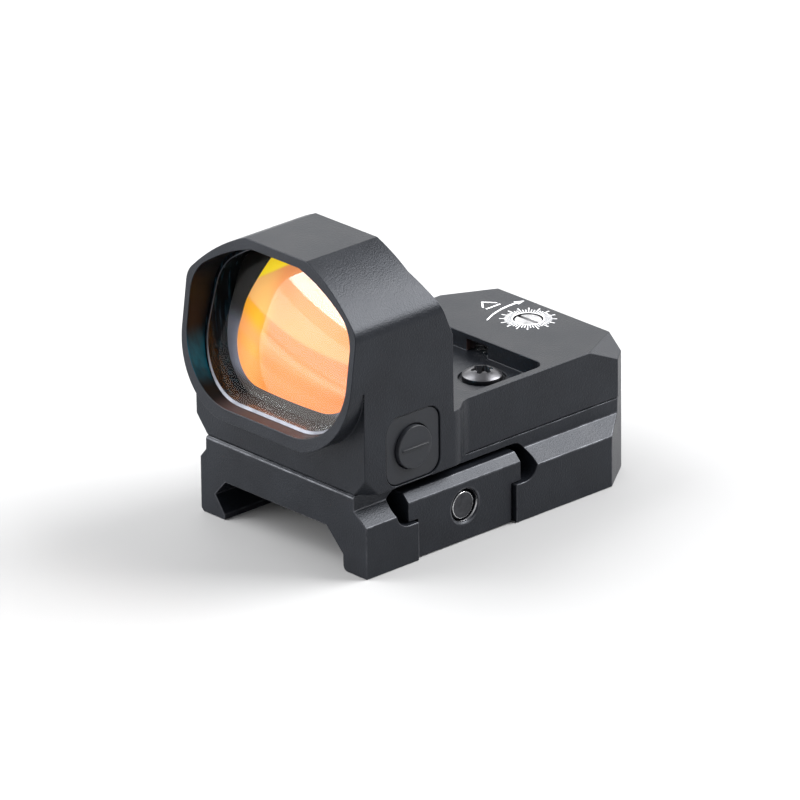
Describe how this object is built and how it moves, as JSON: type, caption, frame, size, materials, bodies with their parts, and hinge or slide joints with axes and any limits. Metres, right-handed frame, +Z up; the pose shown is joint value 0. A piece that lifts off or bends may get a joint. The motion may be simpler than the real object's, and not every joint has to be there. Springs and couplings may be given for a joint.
{
  "type": "reflex red dot sight",
  "caption": "Compact open reflex sight: hooded amber-coated lens, slotted adjusters, side brightness buttons and a rail clamp base with a sliding jaw.",
  "frame": {"origin": "on the rail seat, on the rail's centre plane, at the cross bolt's station along the rail", "axes": "+Z up, the lens and hood face -Y, the shooter or observer looks from +Y, +X is the sliding jaw's side"},
  "size_m": [0.0312, 0.0473, 0.0366],
  "materials": {
    "anodised_housing": "bead blasted matte black anodise",
    "anodised_mount": "bead blasted matte black anodise",
    "screw_steel": "satin grey turned steel",
    "bolt_steel": "dark oxide steel with bright thread crests",
    "bright_steel": "ground stainless steel",
    "adjuster_steel": "satin light steel",
    "spring_steel": "drawn spring wire",
    "front_glass": "clear optical glass, polished",
    "coated_glass": "glass with an amber dichroic coat",
    "port_glass": "clear flat glass",
    "bond_black": "black bonding compound",
    "bezel_silver": "polished bright bevel",
    "button_rubber": "matte silicone rubber",
    "seal_rubber": "black nitrile",
    "cell_steel": "nickel plated can",
    "contact_nickel": "nickel plated spring strip",
    "board_green": "solder mask over glass epoxy",
    "chip_black": "moulded epoxy",
    "cover_black": "glass filled polymer sheet",
    "slide_bronze": "machined bronze",
    "diode_red": "clear red epoxy",
    "marking_white": "white paint in engraved marks"
  },
  "bodies": {
    "sight": {"rail_base": "anodised_mount", "bolt_washer": "bright_steel", "locating_pins": "bright_steel", "sight_housing": "anodised_housing", "lens_front_element": "front_glass", "lens_rear_element": "coated_glass", "lens_seal": "bond_black", "lens_bezel": "bezel_silver", "mounting_screws": "screw_steel", "battery": "cell_steel", "battery_contact_leaf": "contact_nickel", "battery_contact_clip": "contact_nickel", "battery_gasket": "seal_rubber", "bottom_cover": "cover_black", "main_board": "board_green", "controller_chip": "chip_black", "emitter_window": "port_glass", "elevation_spring": "spring_steel", "windage_spring": "spring_steel", "button_pad_left": "button_rubber", "switch_board_left": "board_green", "snap_dome_left": "bright_steel", "button_pad_right": "button_rubber", "switch_board_right": "board_green", "snap_dome_right": "bright_steel"},
    "clamp_jaw": {"clamp_jaw": "anodised_mount"},
    "cross_bolt": {"cross_bolt": "bolt_steel"},
    "elevation_screw": {"elevation_screw": "adjuster_steel", "elevation_oring": "seal_rubber"},
    "windage_screw": {"windage_screw": "adjuster_steel", "windage_oring": "seal_rubber"},
    "windage_slider": {"windage_slider": "slide_bronze"},
    "emitter_carriage": {"emitter_carriage": "slide_bronze", "led_emitter": "diode_red"},
    "button_left": {"button_cap_left": "button_rubber"},
    "button_right": {"button_cap_right": "button_rubber"}
  },
  "joints": [
    {"name": "bolt_turn", "type": "hinge", "parent": "sight", "child": "cross_bolt", "pos_m": [0, 0, -0.00045], "axis": [1, 0, 0], "range_deg": [-1080, 180]},
    {"name": "jaw_slide", "type": "slide", "parent": "sight", "child": "clamp_jaw", "axis": [1, 0, 0], "range_m": [-0.00035, 0.0021]},
    {"name": "elevation_turn", "type": "hinge", "parent": "sight", "child": "elevation_screw", "pos_m": [0, 0.0238, 0.0119], "axis": [0, 0, 1], "range_deg": [-240, 240]},
    {"name": "elevation_slide", "type": "slide", "parent": "windage_slider", "child": "emitter_carriage", "axis": [0, 0, 1], "range_m": [-0.0002333, 0.0002333], "deforming": ["elevation_spring"]},
    {"name": "windage_turn", "type": "hinge", "parent": "sight", "child": "windage_screw", "pos_m": [-0.0126, 0.0217, 0.0082], "axis": [-1, 0, 0], "range_deg": [-240, 240]},
    {"name": "windage_slide", "type": "slide", "parent": "sight", "child": "windage_slider", "axis": [1, 0, 0], "range_m": [-0.0002333, 0.0002333], "deforming": ["windage_spring"]},
    {"name": "button_left_press", "type": "slide", "parent": "sight", "child": "button_left", "axis": [-1, 0, 0], "range_m": [0, 0.0003], "stiffness_N_per_m": 1500, "deforming": ["snap_dome_left"]},
    {"name": "button_right_press", "type": "slide", "parent": "sight", "child": "button_right", "axis": [1, 0, 0], "range_m": [0, 0.0003], "stiffness_N_per_m": 1500, "deforming": ["snap_dome_right"]}
  ],
  "couplings": [
    {"joint": "bolt_turn", "follows": "jaw_slide", "rad_per_m": -8976},
    {"joint": "elevation_turn", "follows": "elevation_slide", "rad_per_m": -17952},
    {"joint": "windage_turn", "follows": "windage_slide", "rad_per_m": 17952}
  ]
}
